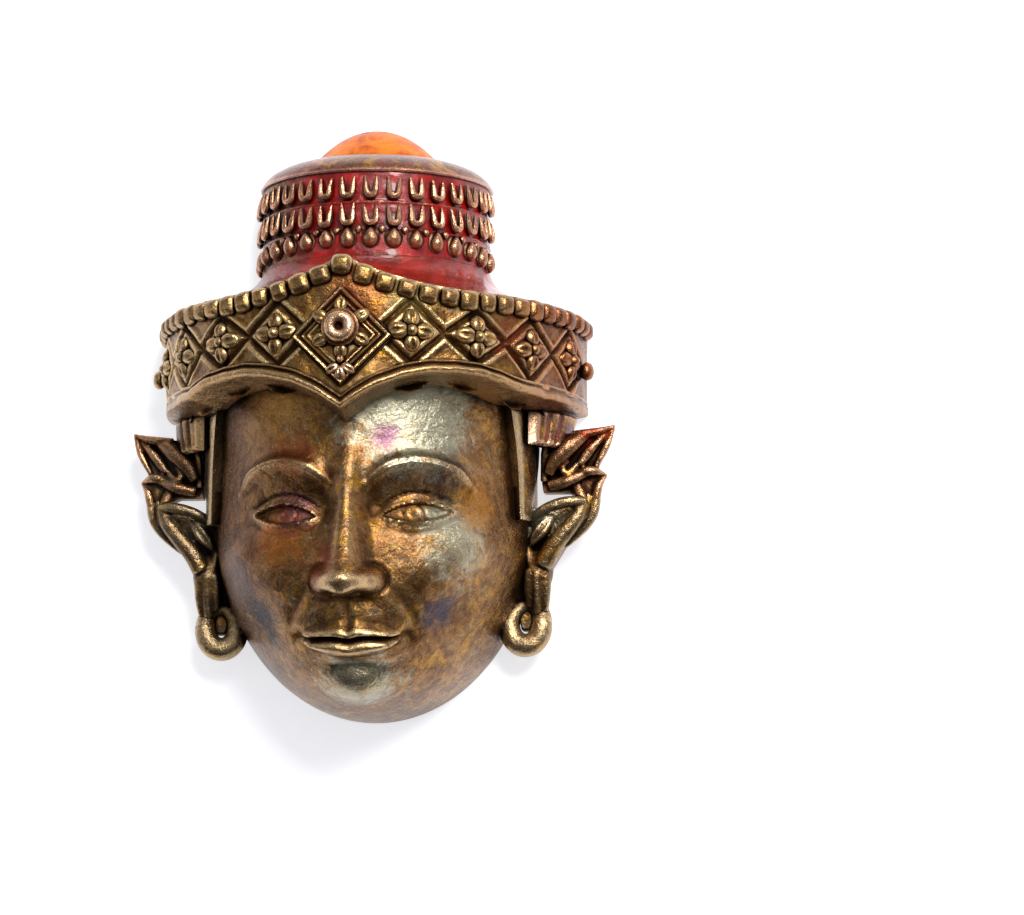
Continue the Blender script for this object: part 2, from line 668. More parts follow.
def leafRim(name):  # a U of flattened bar, thick at its foot, its arms drawn out to points
    bar, half = 0.15, leaves["width"] / 2 - 0.13
    low, high = -leaves["height"] / 2 + bar, leaves["height"] / 2
    points = [(-half - 0.05, high, 0.06), (-half - 0.01, low + 0.5, 0.13), (-half * 0.95, low + 0.12, 0.15),
              (-half * 0.5, low - 0.02, 0.15), (half * 0.5, low - 0.02, 0.15), (half * 0.95, low + 0.12, 0.15),
              (half + 0.01, low + 0.5, 0.13), (half + 0.05, high, 0.06)]
    return rope(name, points, [0.05, 0.13, 0.16, 0.17, 0.17, 0.16, 0.13, 0.05], sides=2, smooth=4)


def rowTurn(i):  # degrees round the drum of the row's copy i
    return (i + 0.5) * 180 / leaves["count"] - 90


def leafRow(name, y):
    pieces = []
    model = leafRim("leafRim")
    for i in range(leaves["count"]):
        leaf = copyOf(model)
        leaf.scale = [float(1 + rng.uniform(-0.05, 0.05)) for _ in range(3)]
        leaf.rotation_euler = (0, 0, math.radians(rng.uniform(-4, 4)))
        applyPlace(leaf)
        pieces.append(seatOnDrum(leaf, rowTurn(i), y + rng.uniform(-0.03, 0.03)))
    bpy.data.objects.remove(model)
    return joined(name, pieces)


upperLeaves = leafRow("upperLeaves", rowOne)
lowerLeaves = leafRow("lowerLeaves", rowTwo)


def dropBead(name):  # a fat pointed bead on a thin leaf, and a small wedge beside its point
    plate = ball("plate", (0.44, 0.52, 0.1), segments=16, rings=8)
    bead = ball("belly", (0.36, 0.41, 0.33), (0, -0.06, 0.04), segments=18, rings=12)
    shape = spots(bead)
    pinch = np.clip((shape[:, 1] - 0.02) / 0.3, 0, 1)
    shape[:, 0] *= 1 - 0.6 * pinch ** 1.2
    shape[:, 1] += 0.14 * pinch
    moveTo(bead, shape)
    wedge = ball("wedge", (0.17, 0.2, 0.13), (0.52, 0.36, 0.03), segments=10, rings=6)
    shape = spots(wedge)
    shape[:, 0] = 0.52 + (shape[:, 0] - 0.52) * np.clip(0.5 + (shape[:, 1] - 0.2) / 0.32, 0.1, 1.2)
    moveTo(wedge, shape)
    return joined(name, [plate, bead, wedge])


dropModel, dropList = dropBead("drop"), []
for i in range(leaves["count"]):
    drop = copyOf(dropModel)
    drop.scale = [float(1 + rng.uniform(-0.06, 0.06)) for _ in range(3)]
    applyPlace(drop)
    y = dropFoot + leaves["dropRise"] * math.cos(math.radians(rowTurn(i)))
    dropList.append(seatOnDrum(drop, rowTurn(i), y, -0.02))
bpy.data.objects.remove(dropModel)
dropRow = joined("dropRow", dropList)
print("the crown is modelled")


# temples, ears and hoops

panelWall = {"halfWidth": head["halfWidth"] + 2.1, "depth": head["depth"] * 0.75, "thick": 1.1}


def curvedPlate(name, halfWidth, depth, turnFrom, lowY, highY, thick, columns, rows, reliefOf):
    bpy.ops.mesh.primitive_grid_add(x_subdivisions=columns, y_subdivisions=rows, size=2)
    plate = bpy.context.object
    flat = (spots(plate)[:, :2] + 1) / 2
    turns = turnFrom(flat[:, 0], flat[:, 1])
    ys = lowY + flat[:, 1] * (highY - lowY)
    moveTo(plate, onOval(turns, ys, reliefOf(flat[:, 0], flat[:, 1]), halfWidth, depth))
    applyModifier(plate, "SOLIDIFY", thickness=thick, offset=-1)
    plate = joined(name, [plate])
    tidyNormals(plate)
    return plate


def panelRelief(u, v):  # upright folds pressed into the plate, and a rolled edge
    folds = np.exp(-((u - 0.5) / 0.06) ** 2) + 0.8 * np.exp(-((u - 0.24) / 0.05) ** 2)
    edge = np.clip(np.minimum(np.minimum(u, 1 - u) / 0.06, v / 0.08), 0, 1)
    crossFold = np.exp(-((v - 0.86) / 0.035) ** 2)
    return 0.1 * np.sin(np.pi * u) - 0.12 * folds - 0.16 * (1 - edge) ** 2 - 0.14 * crossFold


panel = {"inner": head["halfWidth"] + 0.15, "topEdge": 9.76, "footEdge": 9.35, "low": -1.6, "high": 0.42}


def turnOf(x, halfWidth):
    return np.degrees(np.arcsin(np.clip(x / halfWidth, -1, 1)))


def panelTurn(u, v):  # the plate narrows towards its foot
    outer = panel["footEdge"] + (panel["topEdge"] - panel["footEdge"]) * np.clip(v / 0.75, 0, 1) ** 0.8
    return turnOf(panel["inner"] + (outer - panel["inner"]) * u ** 0.6, panelWall["halfWidth"])


templePanelLeft = curvedPlate("templePanelLeft", panelWall["halfWidth"], panelWall["depth"], panelTurn,
                              panel["low"], panel["high"], panelWall["thick"], 90, 60, panelRelief)
strip = {
    "low": -5.15, "high": 0.5, "middle": 7.44, "footMiddle": 7.5, "width": 1.0, "footWidth": 0.3, "stand": 0.38,
}


def stripTurn(u, v):
    wide = strip["footWidth"] + (strip["width"] - strip["footWidth"]) * v ** 0.8
    middle = strip["footMiddle"] + (strip["middle"] - strip["footMiddle"]) * v + 0.12 * np.sin(v * np.pi)
    return turnOf(middle + (u - 0.5) * wide, head["halfWidth"] + strip["stand"])


def stripRelief(u, v):  # rounded across
    return 0.16 * np.sqrt(np.clip(1 - ((u - 0.5) * 1.98) ** 2, 0, 1))


templeStripLeft = curvedPlate("templeStripLeft", head["halfWidth"] + strip["stand"], head["depth"] + strip["stand"],
                              stripTurn, strip["low"], strip["high"], 0.8, 16, 80, stripRelief)

ear = {"grain": 0.065}


def plateOf(name, corners, back, front):  # a flat plate with the given outline
    bpy.ops.mesh.primitive_circle_add(vertices=len(corners), radius=1, fill_type="NGON")
    plate = bpy.context.object
    plate.name = name
    for vert, corner in zip(plate.data.vertices, corners):
        vert.co = (*corner, back)
    onlySelect(plate)
    editOn(plate)
    bpy.ops.mesh.select_all(action="SELECT")
    bpy.ops.mesh.extrude_region_move(TRANSFORM_OT_translate={"value": (0, 0, front - back)})
    editOff()
    tidyNormals(plate)
    return plate


def leafBall(name, radii, place, turn, tip=0.0):  # an almond, its long way turned in the mask's plane
    leaf = ball(name, radii, (0, 0, 0), segments=28, rings=18)
    shape = spots(leaf)
    narrow = 1 - np.abs(shape[:, 0] / radii[0]) ** 1.6 * 0.75
    shape[:, 1] *= narrow
    shape[:, 2] -= tip * np.exp(-(shape[:, 1] / (radii[1] * 0.22)) ** 2) * (shape[:, 2] > 0)
    moveTo(leaf, shape)
    leaf.rotation_euler = (0, 0, math.radians(turn))
    leaf.location = place
    applyPlace(leaf)
    return leaf


earParts = [
    plateOf("earPlate", [(7.25, -4.3), (7.0, -6.6), (6.9, -9.2), (7.1, -10.1), (7.9, -10.1), (8.3, -9.3), (8.5, -7.2),
                         (9.3, -5.9),
                         (10.4, -4.7), (10.3, -3.95), (8.7, -4.2)], 0.6, 1.45),
    rope("topRoll", [(7.6, -4.95, 2.1), (8.1, -4.55, 2.45), (9.0, -4.2, 2.6), (9.7, -4.1, 2.5), (10.2, -4.1, 2.2)],
         [0.2, 0.26, 0.27, 0.27, 0.24]),
    rope("helix", [(10.1, -4.15, 2.15), (9.95, -4.7, 2.25), (9.55, -5.2, 2.3), (9.0, -5.85, 2.3), (8.5, -6.45, 2.2),
                   (8.2, -7.1, 2.05)], [0.3, 0.36, 0.4, 0.42, 0.44, 0.46]),
    rope("outerFold", [(10.75, -3.6, 1.9), (10.68, -4.3, 1.9), (10.45, -4.9, 1.85), (9.9, -5.55, 1.85),
                       (9.2, -6.2, 1.8)], [0.2, 0.26, 0.26, 0.22, 0.12]),
    rope("crease", [(10.35, -3.7, 2.0), (10.35, -4.5, 2.1), (10.0, -5.15, 2.05), (9.5, -5.7, 2.0)],
         [0.12, 0.16, 0.15, 0.1]),
    leafBall("tragus", (1.02, 0.42, 0.42), (8.15, -5.42, 2.2), 52, 0.12),
    rope("innerRim", [(7.5, -5.2, 1.8), (7.4, -6.0, 1.9), (7.5, -6.7, 1.95), (7.75, -7.2, 2.0)],
         [0.2, 0.24, 0.26, 0.3]),
    ball("lobe", (0.72, 1.05, 0.6), (7.94, -7.35, 1.75), segments=28, rings=18),
    rope("lobeInner", [(7.6, -7.3, 2.0), (7.52, -8.2, 2.0), (7.6, -9.0, 1.75)], [0.34, 0.36, 0.2]),
    rope("lobeMiddle", [(7.9, -7.4, 2.1), (7.88, -8.6, 2.05), (7.9, -9.35, 1.75)], [0.3, 0.27, 0.17]),
    rope("lobeOuter", [(8.25, -7.2, 2.0), (8.3, -8.3, 1.95), (8.2, -9.2, 1.65)], [0.3, 0.32, 0.2]),
]
earLeft = joined("earLeft", earParts)
tidyNormals(earLeft)
cast(earLeft, ear["grain"], smooth=4)

flame = {"grain": 0.06}
flameParts = [
    plateOf("flamePlate", [(8.12, -1.2), (8.9, -0.85), (9.9, -0.72), (10.5, -0.66), (11.1, -0.56), (11.6, -0.42),
                           (11.4, -1.0), (11.1, -1.75), (10.75, -2.4), (11.2, -2.8), (10.9, -3.15), (10.75, -3.75),
                           (10.1, -3.95), (9.4, -3.62), (8.2, -3.62), (8.1, -2.9)][::-1], 1.15, 1.95),
    rope("upperRim", [(9.6, -0.95, 2.25), (10.3, -0.86, 2.2), (11.1, -0.68, 2.05), (11.62, -0.4, 1.8)],
         [0.24, 0.24, 0.17, 0.03]),
    rope("outerRim", [(11.62, -0.4, 1.8), (11.36, -1.15, 2.0), (11.06, -1.8, 2.05), (10.72, -2.4, 2.0)],
         [0.03, 0.16, 0.18, 0.12]),
    rope("broadRidge", [(10.2, -0.95, 2.15), (9.7, -1.3, 2.4), (9.2, -1.75, 2.5), (8.75, -2.2, 2.5),
                        (8.5, -2.8, 2.4)],
         [0.26, 0.4, 0.42, 0.36, 0.24]),
    rope("leafRib", [(11.2, -0.85, 1.95), (10.7, -1.35, 2.1), (10.3, -1.8, 2.15), (9.95, -2.35, 2.15)],
         [0.08, 0.22, 0.26, 0.2]),
    rope("innerEdge", [(8.65, -1.05, 2.3), (8.35, -1.5, 2.35), (8.3, -2.3, 2.2), (8.28, -3.1, 2.1)],
         [0.2, 0.24, 0.2, 0.2]),
    rope("lowerRim", [(9.9, -2.75, 2.1), (10.35, -2.62, 2.25), (10.8, -2.66, 2.1), (11.24, -2.8, 1.8)],
         [0.2, 0.26, 0.2, 0.03]),
    rope("lowerEdge", [(11.24, -2.8, 1.8), (10.9, -3.15, 1.95), (10.76, -3.6, 2.0), (10.7, -4.0, 1.9)],
         [0.03, 0.18, 0.22, 0.22]),
    rope("flameFoot", [(8.5, -3.3, 2.2), (9.2, -3.2, 2.35), (9.8, -2.95, 2.3), (10.3, -2.7, 2.1)],
         [0.24, 0.3, 0.26, 0.2]),
    rope("flameRoot", [(9.8, -3.3, 1.9), (9.95, -3.7, 2.0), (10.15, -4.1, 2.0)], [0.3, 0.3, 0.24]),
    rope("curl", [(9.85, -2.3, 2.2), (9.55, -2.75, 2.35), (9.2, -2.75, 2.4), (9.15, -2.35, 2.4), (9.45, -2.15, 2.3)],
         [0.13, 0.16, 0.16, 0.14, 0.1]),
]
earFlameLeft = joined("earFlameLeft", flameParts)
tidyNormals(earFlameLeft)
cast(earFlameLeft, flame["grain"], smooth=3)

hoop = {"x": 7.3, "y": -9.85, "z": 1.55, "wide": 0.78, "long": 0.98, "wire": 0.5, "turns": 24}
loop, wires = [], []
for index in range(hoop["turns"] + 2):
    turnBy = index / hoop["turns"] * math.tau
    across, up = math.cos(turnBy), math.sin(turnBy)
    loop.append((hoop["x"] + across * hoop["wide"] + 0.12 * max(up, 0), hoop["y"] + up * hoop["long"],
                 hoop["z"] - 0.35 * max(up, 0) + 0.1 * min(across, 0)))
    wires.append(hoop["wire"] * (1.0 - 0.2 * max(up, 0) + 0.12 * max(-up, 0)))
earringLeft = rope("earringLeft", loop, wires, sides=8, smooth=6)
earringLeft = joined("earringLeft", [earringLeft])
tidyNormals(earringLeft)

templePanelRight, templeStripRight, earRight, earFlameRight, earringRight = [
    mirroredPiece(piece, piece.name.replace("Left", "Right"))
    for piece in (templePanelLeft, templeStripLeft, earLeft, earFlameLeft, earringLeft)]
print("temples, ears and hoops are modelled")


# the face

face = {"columns": 276, "rows": 276, "wall": 1.2, "straight": 0.36}
bpy.ops.mesh.primitive_grid_add(x_subdivisions=face["columns"], y_subdivisions=face["rows"], size=2)
faceFront = bpy.context.object
flat = spots(faceFront)[:, :2]
down = (1 - flat[:, 1]) / 2  # 0 on the forehead's top edge and 1 on the chin's pole
jawTurn = np.clip((down - face["straight"]) / (1 - face["straight"]), 0, 1) * np.pi / 2
drop = np.sin(jawTurn)
jawLength = head["cheek"] - head["chin"]
ys = np.where(down < face["straight"], head["top"] - down / face["straight"] * (head["top"] - head["cheek"]),
              head["cheek"] - jawLength * drop)
halfWidths = head["halfWidth"] * np.cos(jawTurn)
depths = head["depth"] * (1 - drop ** 3.2) ** (1 / 2.6)
theta = np.sign(flat[:, 0]) * np.abs(flat[:, 0]) ** 1.12 * np.pi / 2
skin = np.stack([halfWidths * np.sin(theta), ys, depths * np.cos(theta)], axis=-1)


def hump(x, y, cx, cy, rx, ry, turn=0.0):  # a soft round rise of height 1
    c, s = math.cos(math.radians(turn)), math.sin(math.radians(turn))
    dx, dy = (x - cx) * c + (y - cy) * s, (y - cy) * c - (x - cx) * s
    return np.exp(-(dx / rx) ** 2 - (dy / ry) ** 2)


def step(value, width):  # 0 to 1 over the width, centred on 0
    return np.clip(value / width + 0.5, 0, 1)


def ridgeLine(x, y, points, width, fade=0.8):  # a soft ridge of height 1 along a line, fading at its ends
    points = np.array(points, dtype=float)
    best, share = np.full(x.shape, 99.0), np.zeros(x.shape)
    lengths = np.concatenate([[0], np.cumsum(np.linalg.norm(np.diff(points, axis=0), axis=1))])
    for i, (a, b) in enumerate(zip(points, points[1:])):
        along = b - a
        t = np.clip(((x - a[0]) * along[0] + (y - a[1]) * along[1]) / along.dot(along), 0, 1)
        gap = np.hypot(x - a[0] - along[0] * t, y - a[1] - along[1] * t)
        share = np.where(gap < best, (lengths[i] + t * (lengths[i + 1] - lengths[i])) / lengths[-1], share)
        best = np.minimum(best, gap)
    ends = np.clip(np.minimum(share, 1 - share) / (fade / lengths[-1]), 0.15, 1)
    return np.exp(-(best / (width * (0.55 + 0.45 * ends))) ** 2) * ends ** 0.6


def curveThrough(points, count=24):  # a smooth line through the points
    points = np.array(points, dtype=float)
    t = np.linspace(0, len(points) - 1, count)
    padded = np.vstack([2 * points[0] - points[1], points, 2 * points[-1] - points[-2]])
    out = []
    for value in t:
        i = min(int(value), len(points) - 2)
        f = value - i
        a, b, c, d = padded[i:i + 4]
        out.append(0.5 * (2 * b + (c - a) * f + (2 * a - 5 * b + 4 * c - d) * f * f
                          + (3 * b - a - 3 * c + d) * f ** 3))
    return out


def faceRelief(x, y):  # millimetres out of the head form, the same on both sides
    ax = np.abs(x)
    out = np.zeros(x.shape)
    # brows and the hollows of the eyes
    brow = curveThrough([(0.85, -4.1), (1.9, -3.25), (3.2, -2.95), (4.5, -3.3), (5.5, -4.1)])
    out += 0.36 * ridgeLine(ax, y, brow, 0.34, 1.2) + 0.22 * hump(ax, y, 3.0, -3.35, 2.4, 0.75)
    out -= 0.07 * ridgeLine(ax, y, brow, 0.07, 1.2)
    out -= 0.85 * hump(ax, y, 2.95, -5.15, 1.75, 0.95) + 0.35 * hump(ax, y, 1.25, -5.1, 0.55, 0.8)
    out -= 0.16 * hump(ax, y, 6.4, -2.2, 1.0, 2.2)
    # eyeballs and lids
    s = np.clip((ax - 1.62) / 3.05, 0, 1)
    arch = np.sin(np.pi * s)
    base = -5.52 + 0.28 * s
    upper, lower = base + 0.46 * arch ** 0.8, base - 0.4 * arch ** 0.9
    between = (ax > 1.62) & (ax < 4.67)
    out += 0.78 * hump(ax, y, 3.1, -5.35, 1.3, 0.86)
    opening = np.clip(np.minimum(upper - y, y - lower) / 0.07 + 0.5, 0, 1) * between * np.clip(arch * 5, 0, 1)
    out -= 0.17 * opening
    lidFade = np.clip(np.minimum(ax - 1.3, 5.1 - ax) / 0.5, 0, 1)
    out += 0.13 * np.exp(-((y - upper - 0.07) / 0.1) ** 2) * lidFade
    out += 0.1 * np.exp(-((y - lower + 0.08) / 0.09) ** 2) * lidFade
    out -= 0.12 * np.exp(-((y - upper - 0.42 - 0.12 * arch) / 0.085) ** 2) * lidFade
    out -= 0.06 * np.exp(-((y - lower + 0.45 + 0.1 * arch) / 0.12) ** 2) * lidFade
    iris = np.hypot((ax - 3.1) / 0.47, (y + 5.38) / 0.47)
    out -= (0.07 * np.exp(-((iris - 1) / 0.12) ** 2) + 0.1 * hump(ax, y, 3.1, -5.38, 0.15, 0.15)) * opening
    # nose
    t = np.clip((-4.0 - y) / 4.35, 0, 1)
    rise = 0.5 + 1.75 * t ** 1.35
    rise *= step(y + 9.08, 0.42) * step(-2.7 - y, 2.2)
    width = 0.52 + 0.3 * t
    out += rise * np.exp(-np.abs(ax / width) ** 2.5)
    out += 0.35 * hump(ax, y, 0.0, -8.3, 0.62, 0.5) * step(y + 9.05, 0.3)
    wing = np.hypot((ax - 1.02) / 0.56, (y + 8.5) / 0.52)
    out += 0.98 * np.exp(-wing ** 2.6)
    out -= 0.2 * np.exp(-((wing - 1.32) / 0.22) ** 2) * step(ax - 0.75, 0.3) * step(y + 9.1, 0.3)
    out -= 0.75 * hump(ax, y, 0.52, -9.0, 0.26, 0.16)
    # cheeks and the lower face
    out += 0.42 * hump(ax, y, 3.9, -7.9, 1.9, 1.6) + 0.3 * hump(ax, y, 5.4, -6.6, 1.3, 0.9, 20)
    out -= 0.14 * ridgeLine(ax, y, curveThrough([(1.75, -8.7), (2.5, -9.6), (2.95, -10.6)]), 0.3, 1.0)
    out -= 0.3 * hump(ax, y, 4.6, -10.2, 1.2, 1.3)
    out += 0.55 * hump(ax, y, 0.0, -10.7, 2.5, 1.7)
    out -= 0.13 * hump(ax, y, 0.0, -9.75, 0.16, 0.55)
    out += 0.07 * hump(ax, y, 0.3, -9.75, 0.13, 0.6)
    # lips
    mouth = (-10.9 + 0.05 * (ax / 2.3) ** 2 - 0.06 * np.exp(-(ax / 0.3) ** 2)
             + 0.04 * np.exp(-((ax - 0.8) / 0.4) ** 2))
    topEdge = (-10.28 - 0.5 * (ax / 2.3) ** 1.6 - 0.1 * np.exp(-(ax / 0.2) ** 2)
               + 0.05 * np.exp(-((ax - 0.42) / 0.25) ** 2))
    lowEdge = -11.72 + 0.78 * (ax / 2.2) ** 2.2
    lipFade = np.clip((2.35 - ax) / 0.7, 0, 1) ** 0.7
    up = np.clip((y - mouth) / np.maximum(topEdge - mouth, 0.05), 0, 1)
    low = np.clip((mouth - y) / np.maximum(mouth - lowEdge, 0.05), 0, 1)
    out += 0.42 * np.sin(np.pi * up ** 0.75) * lipFade * (y > mouth)
    out += 0.5 * np.sin(np.pi * low ** 0.8) * lipFade * (y <= mouth)
    out += 0.06 * np.exp(-((y - topEdge) / 0.06) ** 2) * lipFade
    out -= 0.34 * np.exp(-((y - mouth) / 0.085) ** 2) * np.clip((2.5 - ax) / 0.5, 0, 1)
    out -= 0.22 * hump(ax, y, 2.5, -10.8, 0.26, 0.26)
    out -= 0.34 * hump(ax, y, 0.0, -12.1, 1.25, 0.3)
    out += 0.62 * hump(ax, y, 0.0, -13.0, 1.5, 0.8)
    return out


grid = np.lexsort((flat[:, 0], -flat[:, 1]))  # the grid's points, row by row from the forehead down
lines, across = face["rows"] + 1, face["columns"] + 1
table = skin[grid].reshape(lines, across, 3)
alongX = np.gradient(table, axis=1)
alongY = np.gradient(table, axis=0)
outward = np.cross(alongY, alongX)
lengths = np.linalg.norm(outward, axis=2, keepdims=True)
outward = outward / np.maximum(lengths, 1e-9)
outward[-1] = (0, -1, 0)
x, y, z = table[..., 0], table[..., 1], table[..., 2]
rim = np.clip((np.pi / 2 - np.abs(theta[grid].reshape(lines, across))) / 0.35, 0, 1)
keep = rim * rim * (3 - 2 * rim)
keep *= np.clip((y - head["chin"]) / 1.2, 0, 1) * np.clip((head["top"] - y) / 1.0, 0, 1)
relief = faceRelief(x, y) * keep
relief += 0.025 * keep * (np.sin(x * 1.9 + np.sin(y * 1.3) * 2) * np.sin(y * 1.7 + x))  # hand-worked wax
table = table + outward * relief[..., None]
skin[grid] = table.reshape(-1, 3)
skin[:, 2] = np.maximum(skin[:, 2], 0)
moveTo(faceFront, skin)
faceFront = joined("faceFront", [faceFront])
tidyNormals(faceFront, gap=0.002)
closeAt(faceFront, lambda co: co.y > head["top"] - 0.0001)
closeAt(faceFront, lambda co: co.z < 0.0001)
tidyNormals(faceFront)

bpy.ops.mesh.primitive_cylinder_add(vertices=96, radius=1, depth=1, location=(0, 0, 0))
hollow = bpy.context.object
hollowWidth, hollowDepth, hollowTop = (head[key] - face["wall"] for key in ("halfWidth", "depth", "top"))
hollow.scale = (hollowWidth, hollowDepth, hollowTop - head["cheek"])
hollow.rotation_euler = (math.radians(90), 0, 0)
hollow.location = (0, (hollowTop + head["cheek"]) / 2, 0)
applyPlace(hollow)
jawHollow = ball("jawHollow", (hollowWidth, jawLength - face["wall"], hollowDepth), (0, head["cheek"], 0),
                 segments=96, rings=64)
applyModifier(hollow, "BOOLEAN", operation="UNION", solver="EXACT", object=jawHollow)
applyModifier(faceFront, "BOOLEAN", operation="DIFFERENCE", solver="EXACT", object=hollow)
bpy.data.objects.remove(hollow)
bpy.data.objects.remove(jawHollow)
print("the face is modelled,", len(faceFront.data.polygons), "faces")


# wear: how deep in a corner each point lies, and how much it stands out

wear = {"reach": 0.9, "rays": 12, "span": 0.22, "edgeHeight": 0.035}

pieceTable = [
    (faceFront, "face_shell", "bronze"), (browMoulding, "brow_moulding", "bronze"),
    (tiaraBand, "tiara_band", "bronze"), (tiaraBeads, "tiara_beads", "bronze"),
    (rosettePetals, "rosette_petals", "bronze"), (rosetteStuds, "rosette_studs", "bronze"),
    (crestPlate, "crest_plate", "bronze"), (crestFlower, "crest_flower", "bronze"),
    (crestBoss, "crest_boss", "bronze"), (crestPendant, "crest_pendant", "bronze"),
    (sideStuds, "side_studs", "bronze"), (crownBrim, "crown_brim", "red_lacquer"),
    (crownDrum, "crown_drum", "red_lacquer"), (crownCollar, "crown_collar", "aged_copper"),
    (crownDome, "crown_dome", "orange_lacquer"), (upperLeaves, "upper_leaf_row", "red_lacquer"),
    (lowerLeaves, "lower_leaf_row", "red_lacquer"), (dropRow, "drop_row", "red_lacquer"),
    (templeStripLeft, "temple_strip_left", "bronze"), (templeStripRight, "temple_strip_right", "bronze"),
    (templePanelLeft, "temple_panel_left", "red_lacquer"), (templePanelRight, "temple_panel_right", "bronze"),
    (earLeft, "ear_left", "bronze"), (earRight, "ear_right", "bronze"),
    (earFlameLeft, "ear_flame_left", "bronze"), (earFlameRight, "ear_flame_right", "bronze"),
    (earringLeft, "earring_left", "bronze"), (earringRight, "earring_right", "bronze"),
]
allPoints, allFaces = [], []
for piece, node, slot in pieceTable:
    shift = len(allPoints)
    allPoints += spots(piece).tolist()
    allFaces += [[shift + i for i in face.vertices] for face in piece.data.polygons]
surroundings = BVHTree.FromPolygons(allPoints, allFaces)
golden = math.pi * (3 - math.sqrt(5))
fan = np.array([(math.sqrt((i + 0.5) / wear["rays"]) * math.cos(golden * i),
                 math.sqrt((i + 0.5) / wear["rays"]) * math.sin(golden * i),
                 math.sqrt(1 - (i + 0.5) / wear["rays"])) for i in range(wear["rays"])])


def neighbourMean(values, ends, count):
    out = np.zeros_like(values)
    for column in range(values.shape[1]):
        out[:, column] = np.bincount(ends[:, 0], values[ends[:, 1], column], count) + np.bincount(
            ends[:, 1], values[ends[:, 0], column], count)
    links = np.bincount(ends.ravel(), minlength=count)
    return out / np.maximum(links, 1)[:, None]


def giveWear(piece):
    mesh = piece.data
    count = len(mesh.vertices)
    places = spots(piece)
    normals = np.empty(count * 3)
    mesh.vertices.foreach_get("normal", normals)
    normals = normals.reshape(-1, 3)
    ends = np.empty(len(mesh.edges) * 2, dtype=int)
    mesh.edges.foreach_get("vertices", ends)
    ends = ends.reshape(-1, 2)
    helper = np.where(np.abs(normals[:, 1:2]) < 0.9, [[0.0, 1.0, 0.0]], [[1.0, 0.0, 0.0]])
    side = np.cross(helper, normals)
    side /= np.maximum(np.linalg.norm(side, axis=1, keepdims=True), 1e-9)
    over = np.cross(normals, side)
    starts = (places + normals * 0.03).tolist()
    hidden = np.zeros(count)
    for u, v, w in fan:
        ways = (side * u + over * v + normals * w).tolist()
        for i in range(count):
            gap = surroundings.ray_cast(starts[i], ways[i], wear["reach"])[3]
            if gap is not None:
                hidden[i] += 1 - 0.6 * gap / wear["reach"]
    hidden = hidden[:, None] / wear["rays"]
    for _ in range(2):
        hidden = hidden * 0.5 + neighbourMean(hidden, ends, count) * 0.5
    length = np.median(np.linalg.norm(places[ends[:, 0]] - places[ends[:, 1]], axis=1))
    soft = places.copy()
    for _ in range(int(min(max((wear["span"] / max(length, 0.01)) ** 2, 2), 40))):
        soft = soft * 0.4 + neighbourMean(soft, ends, count) * 0.6
    stand = np.sum((places - soft) * normals, axis=1, keepdims=True)
    stand = stand * 0.5 + neighbourMean(stand, ends, count) * 0.5
    for name, values in (("recess", np.clip(hidden[:, 0], 0, 1)),
                         ("edge", np.clip(0.5 + stand[:, 0] / wear["edgeHeight"] / 2, 0, 1))):
        mesh.attributes.new(name, "FLOAT", "POINT").data.foreach_set("value", values)


for piece, node, slot in pieceTable:
    giveWear(piece)
print("wear is measured on", len(allPoints), "points")


# shader groups

def put(tree, kind, props=None, **sockets):  # adds a node; a socket takes a value or another node's output
    added = tree.nodes.new("ShaderNode" + kind)
    for key, value in (props or {}).items():
        setattr(added, key, value)
    for key, value in sockets.items():
        socket = added.inputs[int(key[1:])] if key[0] == "s" and key[1:].isdigit() else added.inputs[key]
        if isinstance(value, bpy.types.NodeSocket):
            tree.links.new(value, socket)
        else:
            socket.default_value = value
    return added


def sums(tree, operation, first, second=0.5, third=0.5, clamp=False):
    return put(tree, "Math", {"operation": operation, "use_clamp": clamp}, s0=first, s1=second, s2=third).outputs[0]


def blend(tree, share, first, second, mode="MIX"):
    return put(tree, "Mix", {"data_type": "RGBA", "blend_type": mode}, s0=share, s6=first, s7=second).outputs[2]


def ramp(tree, value, low, high, outLow=0.0, outHigh=1.0):
    return put(tree, "MapRange", {"interpolation_type": "SMOOTHSTEP"}, s0=value, s1=low, s2=high,
               s3=outLow, s4=outHigh).outputs[0]


def inMillimetres(tree):
    coords = put(tree, "TexCoord").outputs["Object"]
    return put(tree, "VectorMath", {"operation": "SCALE"}, s0=coords, Scale=1000.0).outputs[0]


def noise(tree, place, scale, detail=3.0, rough=0.55, warp=0.0):
    return put(tree, "TexNoise", None, Vector=place, Scale=scale, Detail=detail, Roughness=rough,
               Distortion=warp).outputs["Fac"]


def ink(red, green, blue):  # a colour as it looks on a screen, 0 to 255, in the shader's own scale
    linear = [((c / 255 + 0.055) / 1.055) ** 2.4 if c > 10 else c / 255 / 12.92 for c in (red, green, blue)]
    return (*linear, 1.0)


def newGroup(name, inputs, outputs):
    tree = bpy.data.node_groups.new(name, "ShaderNodeTree")
    for socketName, kind, value in inputs:
        socket = tree.interface.new_socket(socketName, in_out="INPUT", socket_type="NodeSocket" + kind)
        socket.default_value = value
    for socketName, kind in outputs:
        tree.interface.new_socket(socketName, in_out="OUTPUT", socket_type="NodeSocket" + kind)
    return tree, tree.nodes.new("NodeGroupInput").outputs, tree.nodes.new("NodeGroupOutput").inputs


def placeGroup(tree, group, **values):
    added = tree.nodes.new("ShaderNodeGroup")
    added.node_tree = group
    for key, value in values.items():
        if isinstance(value, bpy.types.NodeSocket):
            tree.links.new(value, added.inputs[key])
        else:
            added.inputs[key].default_value = value
    return added.outputs


